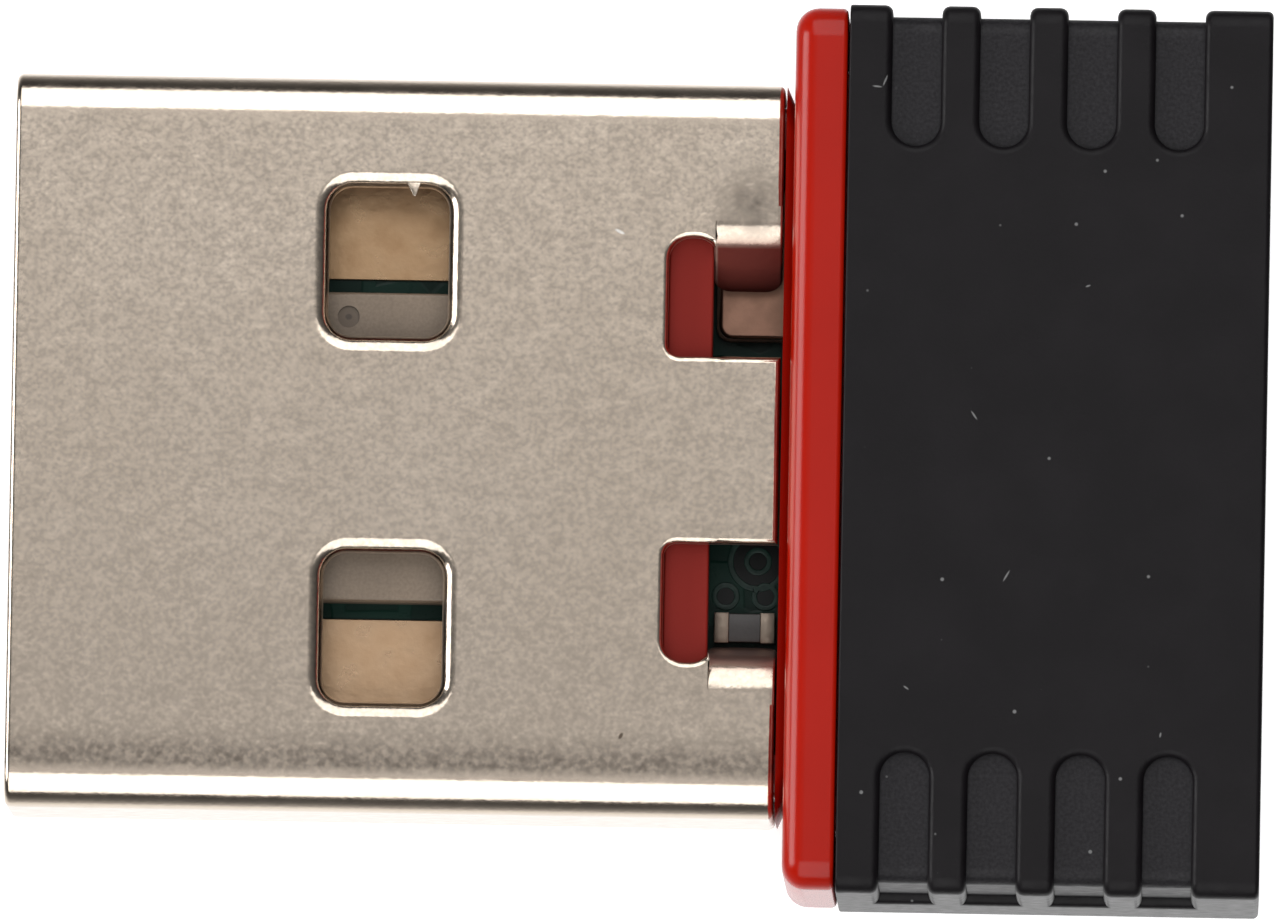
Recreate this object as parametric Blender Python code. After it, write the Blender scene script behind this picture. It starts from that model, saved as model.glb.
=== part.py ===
"""USB wifi adapter: a folded steel plug, a red carrier with a collar, a circuit board and a black cap.

Every piece is modelled about the plug's own axis: x runs from the plug's mouth towards the cap, y across
the plug and z out of the face with the hooked tabs. One empty then lifts the whole adapter so that the
cap's underside lies at z = 0 and the adapter's length is centred on the origin.
"""

import math

import bmesh
import bpy
from mathutils import Matrix, Vector

for old_object in list(bpy.data.objects):
    bpy.data.objects.remove(old_object, do_unlink=True)

MM = 0.001

# Plug shell, a standard USB series A plug folded from sheet
SHELL_WIDTH = 12.0 * MM
SHELL_HEIGHT = 4.5 * MM
SHELL_LENGTH = 12.55 * MM
SHEET = 0.30 * MM
SHELL_BEND_RADIUS = 0.60 * MM
SEAM_GAP = 0.05 * MM
WINDOW_START = 5.15 * MM
WINDOW_LENGTH = 2.0 * MM
WINDOW_WIDTH = 2.5 * MM
WINDOW_SPACING = 3.5 * MM
WINDOW_CORNER = 0.38 * MM

# Notches at the rear of the shell, each with a tab bent down behind the carrier's rear bar
NOTCH_LENGTH = 1.85 * MM
NOTCH_INNER = 1.53 * MM
NOTCH_OUTER = 3.47 * MM
NOTCH_CORNER = 0.25 * MM
TAB_WIDTH = 1.05 * MM
TAB_SLIT = 0.05 * MM
TAB_BOARD_GAP = 0.15 * MM
TAB_CORNER = 0.15 * MM
TAB_BEND_RADIUS = 0.60 * MM
LEFT_TAB_ROOT = 3.75 * MM
LEFT_TAB_ANGLE = math.radians(45)
RIGHT_TAB_ROOT = 3.90 * MM
RIGHT_TAB_ANGLE = math.radians(80)

# Circuit board
BOARD_SIDE_GAP = 0.20 * MM
BOARD_THICKNESS = 0.60 * MM
BOARD_END_GAP = 0.30 * MM

# Red carrier
RAIL_WIDTH = 0.70 * MM
FRONT_BAR_START = 0.60 * MM
FRONT_BAR_LENGTH = 0.60 * MM
REAR_BAR_TAB_GAP = 0.07 * MM
REAR_BAR_THICKNESS = 0.70 * MM
ROOT_LENGTH = 0.17 * MM
COLLAR_THICKNESS = 0.85 * MM
COLLAR_WIDTH = 14.4 * MM
COLLAR_HEIGHT = 6.9 * MM
COLLAR_CORNER = 0.50 * MM
COLLAR_FILLET = 0.28 * MM
SKIRT_LENGTH = 2.0 * MM
SKIRT_WALL = 0.50 * MM
SHELF_LENGTH = 3.60 * MM
SHELF_THICKNESS = 0.80 * MM
SHELF_WIDTH = 1.50 * MM
PEG_RADIUS = 0.45 * MM
PEG_HEAD_RADIUS = 0.70 * MM
PEG_HEAD_HEIGHT = 0.27 * MM
PEG_SETBACK = 2.85 * MM
PEG_SPACING = 9.0 * MM
SNAP_LENGTH = 0.40 * MM
SNAP_HEIGHT = 2.4 * MM
SNAP_DEPTH = 0.15 * MM
SNAP_SETBACK = 1.20 * MM

# Black cap
CAP_LENGTH = 6.90 * MM
CAP_WIDTH = 14.5 * MM
CAP_HEIGHT = 7.0 * MM
CAP_WALL = 1.0 * MM
CAP_CORNER = 0.30 * MM
CAP_EDGE = 0.15 * MM
GROOVE_COUNT = 4
GROOVE_WIDTH = 0.80 * MM
GROOVE_FIRST = 1.10 * MM
GROOVE_LAST = 1.51 * MM
GROOVE_REACH = 2.30 * MM
GROOVE_DEPTH = 0.18 * MM
PARTING_DROP = 0.30 * MM

# Contacts, copper and components on the board
CONTACT_WIDTH = 1.0 * MM
POWER_CONTACT_SPACING = 7.0 * MM
DATA_CONTACT_SPACING = 2.0 * MM
POWER_CONTACT_LENGTH = 7.6 * MM
DATA_CONTACT_LENGTH = 6.6 * MM
CONTACT_END = 9.5 * MM
COPPER = 0.05 * MM
STRIP_START = 2.0 * MM
STRIP_END = 10.4 * MM
STRIP_INNER = 2.78 * MM
CHIP_START = 5.0 * MM
CHIP_SIDE = 5.05 * MM
CHIP_HEIGHT = 0.85 * MM
CRYSTAL_LENGTH = 3.2 * MM
CRYSTAL_WIDTH = 2.5 * MM
CRYSTAL_INNER = 1.86 * MM
CRYSTAL_BASE_HEIGHT = 0.30 * MM
CRYSTAL_LID_HEIGHT = 0.17 * MM
CRYSTAL_LID_INSET = 0.04 * MM
CASE_0402 = (1.0 * MM, 0.5 * MM, 0.35 * MM)
CASE_0805 = (2.0 * MM, 1.25 * MM, 0.85 * MM)
CASE_INDUCTOR = (2.5 * MM, 2.0 * MM, 1.0 * MM)
ANTENNA_TRACE_WIDTH = 0.30 * MM
ANTENNA_FOLD_PITCH = 0.70 * MM
ANTENNA_FOLD_LENGTH = 1.40 * MM
ANTENNA_FOLDS = 9
ANTENNA_EDGE = 0.30 * MM
ANTENNA_FEED_Y = -(ANTENNA_FOLDS - 1) / 2 * ANTENNA_FOLD_PITCH

# Small parts ahead of the chip, measured from the chip's front edge: name, centre's x and y
CHIP_CAPACITORS = (
    ("decoupling_capacitor_left", -1.10 * MM, 1.30 * MM),
    ("decoupling_capacitor_right", -1.10 * MM, -1.30 * MM),
)

# The one resistor that the right notch shows, measured from the tab's front end
BIAS_RESISTOR_OFFSET = 0.52 * MM
BIAS_RESISTOR_Y = -2.83 * MM

# Plated holes that the right notch shows, measured from the tab's front end and the plug's axis
VIA_RADIUS = 0.14 * MM
VIA_PLACES = ((0.20 * MM, -2.30 * MM), (0.85 * MM, -2.30 * MM), (0.72 * MM, -1.72 * MM))

# Parts inside the cap, measured from the collar's rear face: name, centre's x and y, case, finish
ANTENNA_INDUCTOR_X = 2.25 * MM
CAP_PARTS = (
    ("power_inductor", 1.80 * MM, 0.60 * MM, CASE_INDUCTOR, "ferrite"),
    ("input_capacitor", 1.50 * MM, -1.45 * MM, CASE_0805, "ceramic"),
    ("crystal_capacitor_inner", 1.80 * MM, 2.30 * MM, CASE_0402, "ceramic"),
    ("crystal_capacitor_outer", 1.80 * MM, 3.20 * MM, CASE_0402, "ceramic"),
    ("antenna_capacitor", 0.85 * MM, ANTENNA_FEED_Y, CASE_0402, "ceramic"),
    ("antenna_inductor", ANTENNA_INDUCTOR_X, ANTENNA_FEED_Y, CASE_0402, "dark_ceramic"),
)

# Clearances between pieces that meet
FIT = 0.03 * MM
SLOT_FIT = 0.05 * MM
SOLDER_GAP = 0.01 * MM

# Places worked out from the sizes above
SHELL_INNER_WIDTH = SHELL_WIDTH - 2 * SHEET
SHELL_INNER_TOP = SHELL_HEIGHT / 2 - SHEET
NOTCH_START = SHELL_LENGTH - NOTCH_LENGTH
TAB_START = SHELL_LENGTH - TAB_WIDTH
BOARD_WIDTH = SHELL_INNER_WIDTH - 2 * BOARD_SIDE_GAP
CARRIER_TOP = SHELL_INNER_TOP - SLOT_FIT
CARRIER_SIDE = SHELL_INNER_WIDTH / 2 - SLOT_FIT
ROOT_START = SHELL_LENGTH + FIT
COLLAR_START = SHELL_LENGTH + ROOT_LENGTH
COLLAR_END = COLLAR_START + COLLAR_THICKNESS
CAP_START = COLLAR_END + FIT
CAP_END = CAP_START + CAP_LENGTH
TOTAL_LENGTH = CAP_END
REAR_BAR_START = NOTCH_START
REAR_BAR_LENGTH = TAB_START - REAR_BAR_TAB_GAP - REAR_BAR_START
GROOVE_PITCH = (CAP_LENGTH - GROOVE_FIRST - GROOVE_LAST) / (GROOVE_COUNT - 1)
BOARD_START = FRONT_BAR_START + FRONT_BAR_LENGTH + SLOT_FIT
BOARD_END = CAP_END - CAP_WALL - BOARD_END_GAP
SKIRT_WIDTH = CAP_WIDTH - 2 * CAP_WALL - 2 * FIT
SKIRT_HEIGHT = CAP_HEIGHT - 2 * CAP_WALL - 2 * FIT
PEG_X = COLLAR_END + PEG_SETBACK
SNAP_X = COLLAR_END + SNAP_SETBACK
BOARD_TOP = BOARD_THICKNESS
SEAT = BOARD_TOP + SOLDER_GAP
STEEP_BEND_DROP = TAB_BEND_RADIUS - (TAB_BEND_RADIUS - SHEET) * math.cos(RIGHT_TAB_ANGLE)
TAB_ROOM = SHELL_HEIGHT / 2 - STEEP_BEND_DROP - BOARD_TOP - TAB_BOARD_GAP
TAB_LENGTH = TAB_ROOM / math.sin(RIGHT_TAB_ANGLE)
OVERCUT = 1.0 * MM
WELD = 0.10 * MM
CORNER_STEPS = 5
ROUND_SIDES = 20
SIDE_NAMES = {1: "left", -1: "right"}

COLOURS = {
    "nickel": ((0.46, 0.42, 0.37), 0.32, 1.0),
    "red_plastic": ((0.42, 0.022, 0.014), 0.28, 0.0),
    "black_soft_touch": ((0.022, 0.021, 0.022), 0.62, 0.0),
    "board_green": ((0.010, 0.036, 0.026), 0.35, 0.0),
    "gold_plate": ((0.62, 0.42, 0.20), 0.30, 1.0),
    "chip_plastic": ((0.13, 0.11, 0.09), 0.55, 0.0),
    "ceramic": ((0.30, 0.22, 0.15), 0.50, 0.0),
    "crystal_lid_metal": ((0.45, 0.38, 0.32), 0.30, 1.0),
    "dark_ceramic": ((0.03, 0.03, 0.03), 0.45, 0.0),
    "ferrite": ((0.05, 0.05, 0.055), 0.60, 0.0),
    "copper": ((0.55, 0.25, 0.12), 0.35, 1.0),
}

datum = bpy.data.objects.new("adapter_datum", None)
datum.location = (-TOTAL_LENGTH / 2, 0.0, CAP_HEIGHT / 2)
bpy.context.scene.collection.objects.link(datum)


def finish_material(finish):
    """One Principled material for each finish, made the first time that it is asked for."""
    if finish in bpy.data.materials:
        return bpy.data.materials[finish]
    colour, roughness, metallic = COLOURS[finish]
    material = bpy.data.materials.new(finish)
    material.use_nodes = True
    shader = material.node_tree.nodes["Principled BSDF"]
    shader.inputs["Base Color"].default_value = (*colour, 1.0)
    shader.inputs["Roughness"].default_value = roughness
    shader.inputs["Metallic"].default_value = metallic
    return material


def new_object(name, bm, finish):
    """A named object made from bm, standing in the adapter's own frame."""
    bmesh.ops.recalc_face_normals(bm, faces=bm.faces)
    mesh = bpy.data.meshes.new(name)
    bm.to_mesh(mesh)
    bm.free()
    made = bpy.data.objects.new(name, mesh)
    bpy.context.scene.collection.objects.link(made)
    made.parent = datum
    mesh.materials.append(finish_material(finish))
    return made


def tool_object(name, bm):
    """A shape that only cuts from a piece or is joined to it, and isn't a piece itself."""
    tool = new_object(name, bm, "dark_ceramic")
    tool.hide_render = True
    tool.display_type = "WIRE"
    return tool


def boolean(piece, operation, tool):
    modifier = piece.modifiers.new(tool.name, "BOOLEAN")
    modifier.operation = operation
    modifier.solver = "EXACT"
    modifier.object = tool


def cut(piece, name, bm):
    boolean(piece, "DIFFERENCE", tool_object(name, bm))


def join(piece, name, bm):
    boolean(piece, "UNION", tool_object(name, bm))


def block(low, high):
    """A box from its lowest corner to its highest one."""
    low, high = Vector(low), Vector(high)
    bm = bmesh.new()
    place = Matrix.Translation((low + high) / 2) @ Matrix.Diagonal((*(high - low), 1.0))
    bmesh.ops.create_cube(bm, size=1.0, matrix=place)
    return bm


def rounded_outline(corners, steps=CORNER_STEPS):
    """The outline through corners, each (a, b, radius), with an arc at each corner that has a radius."""
    points = []
    for index, (a, b, radius) in enumerate(corners):
        corner = Vector((a, b))
        if radius == 0:
            points.append(tuple(corner))
            continue
        to_last = (Vector(corners[index - 1][:2]) - corner).normalized()
        to_next = (Vector(corners[(index + 1) % len(corners)][:2]) - corner).normalized()
        half_angle = to_last.angle(to_next) / 2
        centre = corner + (to_last + to_next).normalized() * radius / math.sin(half_angle)
        first = (corner + to_last * radius / math.tan(half_angle) - centre).normalized()
        last = (corner + to_next * radius / math.tan(half_angle) - centre).normalized()
        points.extend(tuple(centre + radius * first.slerp(last, step / steps)) for step in range(steps + 1))
    return points


def rounded_rectangle(low, high, radius):
    corners = ((high[0], high[1]), (low[0], high[1]), (low[0], low[1]), (high[0], low[1]))
    return rounded_outline([(a, b, radius) for a, b in corners])


def prism(outline, start, end, along):
    """An outline extruded from start to end along X (outline in y, z) or along Z (outline in x, y)."""
    bm = bmesh.new()
    if along == "X":
        rings = [[bm.verts.new((x, a, b)) for a, b in outline] for x in (start, end)]
    else:
        rings = [[bm.verts.new((a, b, z)) for a, b in outline] for z in (start, end)]
    bm.faces.new(rings[0])
    bm.faces.new(rings[1])
    for index in range(len(outline)):
        after = (index + 1) % len(outline)
        bm.faces.new((rings[0][index], rings[0][after], rings[1][after], rings[1][index]))
    return bm


def centred_prism(width, height, corner, start, end):
    """A bar along X with a rounded section centred on the plug's axis."""
    outline = rounded_rectangle((-width / 2, -height / 2), (width / 2, height / 2), corner)
    return prism(outline, start, end, "X")


def cylinder(x, y, radius, low, high):
    """A round post or drill standing along Z."""
    bm = bmesh.new()
    place = Matrix.Translation((x, y, (low + high) / 2))
    bmesh.ops.create_cone(
        bm, cap_ends=True, segments=ROUND_SIDES, radius1=radius, radius2=radius, depth=high - low, matrix=place
    )
    return bm


def bevel_edges(bm, width, segments, chosen):
    edges = [edge for edge in bm.edges if chosen(edge)]
    bmesh.ops.bevel(
        bm, geom=edges, offset=width, segments=segments, profile=0.5, affect="EDGES", clamp_overlap=True
    )


def freeze(piece):
    """Gives the piece the shape that its modifiers make, and takes the modifiers and their tools away."""
    tools = [modifier.object for modifier in piece.modifiers]
    bpy.context.view_layer.update()
    shape = piece.evaluated_get(bpy.context.evaluated_depsgraph_get())
    piece.data = bpy.data.meshes.new_from_object(shape)
    piece.modifiers.clear()
    for tool in tools:
        bpy.data.objects.remove(tool, do_unlink=True)


def smooth(piece, angle=math.radians(35)):
    piece.data.shade_smooth()
    piece.data.set_sharp_from_angle(angle=angle)


# ---------------------------------------------------------------- plug shell


def flat_tab_length(angle):
    """The tab's length before it is bent, from its root to its tip."""
    return TAB_BEND_RADIUS * angle + TAB_LENGTH


def notch_outline(side, root, angle):
    """The cut that frees one tab from the sheet, seen from above, before the tab is bent."""
    tip = root - flat_tab_length(angle)
    rear = SHELL_LENGTH + OVERCUT
    corners = (
        (NOTCH_START, NOTCH_INNER, NOTCH_CORNER),
        (rear, NOTCH_INNER, 0),
        (rear, tip + OVERCUT + TAB_CORNER, 0),
        (SHELL_LENGTH - TAB_CORNER, tip, 0),
        (TAB_START, tip, TAB_CORNER),
        (TAB_START, root, 0),
        (TAB_START - TAB_SLIT, root, 0),
        (TAB_START - TAB_SLIT, NOTCH_OUTER, 0),
        (NOTCH_START, NOTCH_OUTER, NOTCH_CORNER),
    )
    return rounded_outline([(x, side * y, radius) for x, y, radius in corners])


def bend_tab(bm, side, root, angle):
    """Folds one freed tab down round a bend of TAB_BEND_RADIUS that starts at root."""
    behind = TAB_START - TAB_SLIT / 2
    bisect = bmesh.ops.bisect_plane
    bisect(bm, geom=bm.verts[:] + bm.edges[:] + bm.faces[:], plane_co=(behind, 0, 0), plane_no=(1, 0, 0))
    for step in range(CORNER_STEPS + 1):
        fold_y = side * (root - TAB_BEND_RADIUS * angle * step / CORNER_STEPS)
        faces = [
            face
            for face in bm.faces
            if face.calc_center_median().z > 0
            and all(vertex.co.x > behind - FIT / 2 for vertex in face.verts)
        ]
        edges = {edge for face in faces for edge in face.edges}
        corners = {vertex for face in faces for vertex in face.verts}
        bisect(bm, geom=faces + list(edges | corners), plane_co=(0, fold_y, 0), plane_no=(0, 1, 0))
    centre_z = SHELL_HEIGHT / 2 - TAB_BEND_RADIUS
    for vertex in bm.verts:
        along = root - side * vertex.co.y
        if vertex.co.x < behind + FIT / 2 or vertex.co.z < 0 or not 0 < along < root - NOTCH_INNER - FIT:
            continue
        radius = vertex.co.z - centre_z
        turned = min(along / TAB_BEND_RADIUS, angle)
        straight = along - TAB_BEND_RADIUS * turned
        vertex.co.y = side * (root - radius * math.sin(turned) - straight * math.cos(turned))
        vertex.co.z = centre_z + radius * math.cos(turned) - straight * math.sin(turned)


def make_plug_shell():
    shell = new_object(
        "plug_shell",
        centred_prism(SHELL_WIDTH, SHELL_HEIGHT, SHELL_BEND_RADIUS, 0.0, SHELL_LENGTH),
        "nickel",
    )
    bore = centred_prism(
        SHELL_INNER_WIDTH,
        2 * SHELL_INNER_TOP,
        SHELL_BEND_RADIUS - SHEET,
        -OVERCUT,
        SHELL_LENGTH + OVERCUT,
    )
    cut(shell, "shell_bore_tool", bore)
    seam = block(
        (-OVERCUT, -SEAM_GAP / 2, -SHELL_HEIGHT / 2 - OVERCUT),
        (SHELL_LENGTH + OVERCUT, SEAM_GAP / 2, -SHELL_INNER_TOP + WELD),
    )
    cut(shell, "shell_seam_tool", seam)
    tabs = ((1, LEFT_TAB_ROOT, LEFT_TAB_ANGLE), (-1, RIGHT_TAB_ROOT, RIGHT_TAB_ANGLE))
    for side, root, angle in tabs:
        label = SIDE_NAMES[side]
        window_y = sorted(side * y for y in (WINDOW_SPACING / 2, WINDOW_SPACING / 2 + WINDOW_WIDTH))
        window = rounded_rectangle(
            (WINDOW_START, window_y[0]), (WINDOW_START + WINDOW_LENGTH, window_y[1]), WINDOW_CORNER
        )
        cut(shell, f"{label}_window_tool", prism(window, -SHELL_HEIGHT, SHELL_HEIGHT, "Z"))
        notch = prism(notch_outline(side, root, angle), SHELL_INNER_TOP - WELD, SHELL_HEIGHT, "Z")
        cut(shell, f"{label}_notch_tool", notch)
    freeze(shell)
    bm = bmesh.new()
    bm.from_mesh(shell.data)
    for side, root, angle in tabs:
        bend_tab(bm, side, root, angle)
    bm.to_mesh(shell.data)
    bm.free()
    smooth(shell)


# ---------------------------------------------------------------- red carrier


def make_carrier():
    collar = centred_prism(COLLAR_WIDTH, COLLAR_HEIGHT, COLLAR_CORNER, COLLAR_START, COLLAR_END)
    bevel_edges(
        collar,
        COLLAR_FILLET,
        3,
        lambda edge: all(abs(vertex.co.x - COLLAR_START) < FIT for vertex in edge.verts),
    )
    carrier = new_object("carrier", collar, "red_plastic")
    root = centred_prism(SHELL_WIDTH, SHELL_HEIGHT, SHELL_BEND_RADIUS, ROOT_START, COLLAR_START + WELD)
    join(carrier, "carrier_root_tool", root)
    skirt = centred_prism(SKIRT_WIDTH, SKIRT_HEIGHT, CAP_CORNER, COLLAR_END - WELD, COLLAR_END + SKIRT_LENGTH)
    join(carrier, "carrier_skirt_tool", skirt)
    for side, label in SIDE_NAMES.items():
        snap_y = sorted((side * (SKIRT_WIDTH / 2 - WELD), side * (SKIRT_WIDTH / 2 + SNAP_DEPTH)))
        snap = block(
            (SNAP_X, snap_y[0], -SNAP_HEIGHT / 2),
            (SNAP_X + SNAP_LENGTH, snap_y[1], SNAP_HEIGHT / 2),
        )
        join(carrier, f"carrier_{label}_snap_tool", snap)
    hollow = block(
        (COLLAR_END, -SKIRT_WIDTH / 2 + SKIRT_WALL, -SKIRT_HEIGHT / 2 + SKIRT_WALL),
        (COLLAR_END + SKIRT_LENGTH + OVERCUT, SKIRT_WIDTH / 2 - SKIRT_WALL, SKIRT_HEIGHT / 2 - SKIRT_WALL),
    )
    cut(carrier, "carrier_skirt_hollow_tool", hollow)
    slot = block(
        (ROOT_START - OVERCUT, -BOARD_WIDTH / 2 - SLOT_FIT, -SLOT_FIT),
        (COLLAR_END + OVERCUT, BOARD_WIDTH / 2 + SLOT_FIT, CARRIER_TOP - WELD),
    )
    cut(carrier, "carrier_slot_tool", slot)
    for side, label in SIDE_NAMES.items():
        rail_corners = (
            (CARRIER_SIDE - RAIL_WIDTH, BOARD_TOP + FIT, 0),
            (CARRIER_SIDE, BOARD_TOP + FIT, 0),
            (CARRIER_SIDE, CARRIER_TOP, SHELL_BEND_RADIUS - SHEET - SLOT_FIT),
            (CARRIER_SIDE - RAIL_WIDTH, CARRIER_TOP, 0),
        )
        rail_section = rounded_outline([(side * y, z, radius) for y, z, radius in rail_corners])
        rail = prism(rail_section, FRONT_BAR_START, COLLAR_END - WELD, "X")
        join(carrier, f"carrier_{label}_rail_tool", rail)
        peg_y = side * PEG_SPACING / 2
        shelf = block(
            (COLLAR_END - WELD, peg_y - SHELF_WIDTH / 2, -SLOT_FIT - SHELF_THICKNESS),
            (COLLAR_END + SHELF_LENGTH, peg_y + SHELF_WIDTH / 2, -SLOT_FIT),
        )
        join(carrier, f"carrier_{label}_shelf_tool", shelf)
        head_low = BOARD_TOP + FIT
        peg = cylinder(PEG_X, peg_y, PEG_RADIUS, -SHELF_THICKNESS / 2, head_low + WELD)
        join(carrier, f"carrier_{label}_peg_tool", peg)
        head = cylinder(PEG_X, peg_y, PEG_HEAD_RADIUS, head_low, head_low + PEG_HEAD_HEIGHT)
        join(carrier, f"carrier_{label}_peg_head_tool", head)
    front_bar = block(
        (FRONT_BAR_START, -CARRIER_SIDE + WELD, 0.0),
        (FRONT_BAR_START + FRONT_BAR_LENGTH, CARRIER_SIDE - WELD, CARRIER_TOP),
    )
    join(carrier, "carrier_front_bar_tool", front_bar)
    rear_bar = block(
        (REAR_BAR_START, -CARRIER_SIDE + WELD, CARRIER_TOP - REAR_BAR_THICKNESS),
        (REAR_BAR_START + REAR_BAR_LENGTH, CARRIER_SIDE - WELD, CARRIER_TOP),
    )
    join(carrier, "carrier_rear_bar_tool", rear_bar)
    smooth(carrier)


# ---------------------------------------------------------------- black cap


def groove_outline(centre_x, side):
    """A slot seen from above that comes in from the cap's side and ends in a half round."""
    radius = GROOVE_WIDTH / 2
    inner = CAP_WIDTH / 2 - GROOVE_REACH + radius
    points = [(centre_x + radius, CAP_WIDTH / 2 + OVERCUT), (centre_x - radius, CAP_WIDTH / 2 + OVERCUT)]
    for step in range(2 * CORNER_STEPS + 1):
        angle = math.radians(180) * (1 + step / (2 * CORNER_STEPS))
        points.append((centre_x + radius * math.cos(angle), inner + radius * math.sin(angle)))
    return [(x, side * y) for x, y in points]


def make_cap():
    body = centred_prism(CAP_WIDTH, CAP_HEIGHT, CAP_CORNER, CAP_START, CAP_END)
    bevel_edges(
        body, CAP_EDGE, 2, lambda edge: all(abs(vertex.co.x - CAP_END) < FIT for vertex in edge.verts)
    )
    cap = new_object("cap", body, "black_soft_touch")
    for side, label in SIDE_NAMES.items():
        for number in range(GROOVE_COUNT):
            centre_x = CAP_START + GROOVE_FIRST + number * GROOVE_PITCH
            groove = prism(groove_outline(centre_x, side), -PARTING_DROP, CAP_HEIGHT, "Z")
            cut(cap, f"cap_{label}_groove_{number + 1}_tool", groove)
    floor = centred_prism(
        CAP_WIDTH - 2 * GROOVE_DEPTH,
        CAP_HEIGHT - 2 * GROOVE_DEPTH,
        CAP_CORNER,
        CAP_START + GROOVE_DEPTH,
        CAP_END - CAP_WALL / 2,
    )
    join(cap, "cap_groove_floor_tool", floor)
    cavity = block(
        (CAP_START - OVERCUT, -CAP_WIDTH / 2 + CAP_WALL, -CAP_HEIGHT / 2 + CAP_WALL),
        (CAP_END - CAP_WALL, CAP_WIDTH / 2 - CAP_WALL, CAP_HEIGHT / 2 - CAP_WALL),
    )
    cut(cap, "cap_cavity_tool", cavity)
    pocket_reach = CAP_WIDTH / 2 - CAP_WALL + SNAP_DEPTH + FIT
    pocket = block(
        (SNAP_X - SLOT_FIT, -pocket_reach, -SNAP_HEIGHT / 2 - SLOT_FIT),
        (SNAP_X + SNAP_LENGTH + SLOT_FIT, pocket_reach, SNAP_HEIGHT / 2 + SLOT_FIT),
    )
    cut(cap, "cap_snap_pocket_tool", pocket)
    smooth(cap)


# ---------------------------------------------------------------- circuit board, contacts and copper


def make_circuit_board():
    board = new_object(
        "circuit_board",
        block((BOARD_START, -BOARD_WIDTH / 2, 0.0), (BOARD_END, BOARD_WIDTH / 2, BOARD_TOP)),
        "board_green",
    )
    for side, label in SIDE_NAMES.items():
        hole = cylinder(PEG_X, side * PEG_SPACING / 2, PEG_RADIUS + SLOT_FIT, -OVERCUT, OVERCUT)
        cut(board, f"board_{label}_peg_hole_tool", hole)
    for number, (from_tab, y) in enumerate(VIA_PLACES):
        hole = cylinder(TAB_START + from_tab, y, VIA_RADIUS, -OVERCUT, OVERCUT)
        cut(board, f"board_via_{number + 1}_tool", hole)
    smooth(board)


def make_contacts():
    contacts = (
        ("contact_power", POWER_CONTACT_SPACING / 2, POWER_CONTACT_LENGTH),
        ("contact_data_minus", DATA_CONTACT_SPACING / 2, DATA_CONTACT_LENGTH),
        ("contact_data_plus", -DATA_CONTACT_SPACING / 2, DATA_CONTACT_LENGTH),
        ("contact_ground", -POWER_CONTACT_SPACING / 2, POWER_CONTACT_LENGTH),
    )
    for name, centre_y, length in contacts:
        contact = block(
            (CONTACT_END - length, centre_y - CONTACT_WIDTH / 2, -SOLDER_GAP - COPPER),
            (CONTACT_END, centre_y + CONTACT_WIDTH / 2, -SOLDER_GAP),
        )
        new_object(name, contact, "gold_plate")


def make_ground_strips():
    outer = CARRIER_SIDE - RAIL_WIDTH - SLOT_FIT
    for name, side in (("ground_strip_left", 1), ("ground_strip_right", -1)):
        strip_y = sorted((side * STRIP_INNER, side * outer))
        strip = block((STRIP_START, strip_y[0], SEAT), (STRIP_END, strip_y[1], SEAT + COPPER))
        new_object(name, strip, "gold_plate")


def ribbon_outline(line, width):
    """The outline of a flat line of even width that follows line, with mitred corners."""
    ahead = [(after - before).normalized() for before, after in zip(line, line[1:])]
    left, right = [], []
    for index, point in enumerate(line):
        last = ahead[max(index - 1, 0)].orthogonal()
        following = ahead[min(index, len(ahead) - 1)].orthogonal()
        offset = (last + following) / (1 + last.dot(following)) * width / 2
        left.append(tuple(point + offset))
        right.append(tuple(point - offset))
    return left + right[::-1]


def make_antenna():
    """A flat copper line folded back and forth across the rear of the board, with its feed running forward."""
    rear = BOARD_END - ANTENNA_EDGE
    front = rear - ANTENNA_FOLD_LENGTH
    feed_start = COLLAR_END + ANTENNA_INDUCTOR_X + CASE_0402[0] / 2 + SLOT_FIT
    line = [Vector((feed_start, ANTENNA_FEED_Y))]
    for fold in range(ANTENNA_FOLDS):
        y = ANTENNA_FEED_Y + fold * ANTENNA_FOLD_PITCH
        ends = (front, rear) if fold % 2 == 0 else (rear, front)
        line.extend(Vector((x, y)) for x in ends[fold == 0:])
    trace = prism(ribbon_outline(line, ANTENNA_TRACE_WIDTH), SEAT, SEAT + COPPER, "Z")
    new_object("antenna_trace", trace, "copper")


# ---------------------------------------------------------------- components


def make_chip():
    chip = block(
        (CHIP_START, -CHIP_SIDE / 2, SEAT),
        (CHIP_START + CHIP_SIDE, CHIP_SIDE / 2, SEAT + CHIP_HEIGHT),
    )
    new_object("wifi_chip", chip, "chip_plastic")


def make_crystal():
    start = REAR_BAR_START + REAR_BAR_LENGTH + SLOT_FIT
    base = block(
        (start, CRYSTAL_INNER, SEAT),
        (start + CRYSTAL_LENGTH, CRYSTAL_INNER + CRYSTAL_WIDTH, SEAT + CRYSTAL_BASE_HEIGHT),
    )
    new_object("crystal_base", base, "ceramic")
    lid_low = SEAT + CRYSTAL_BASE_HEIGHT + SOLDER_GAP
    inset = CRYSTAL_LID_INSET
    lid = block(
        (start + inset, CRYSTAL_INNER + inset, lid_low),
        (
            start + CRYSTAL_LENGTH - inset,
            CRYSTAL_INNER + CRYSTAL_WIDTH - inset,
            lid_low + CRYSTAL_LID_HEIGHT,
        ),
    )
    bevel_edges(
        lid,
        CRYSTAL_LID_HEIGHT / 2,
        2,
        lambda edge: all(vertex.co.z > lid_low + CRYSTAL_LID_HEIGHT / 2 for vertex in edge.verts),
    )
    new_object("crystal_lid", lid, "crystal_lid_metal")


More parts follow.
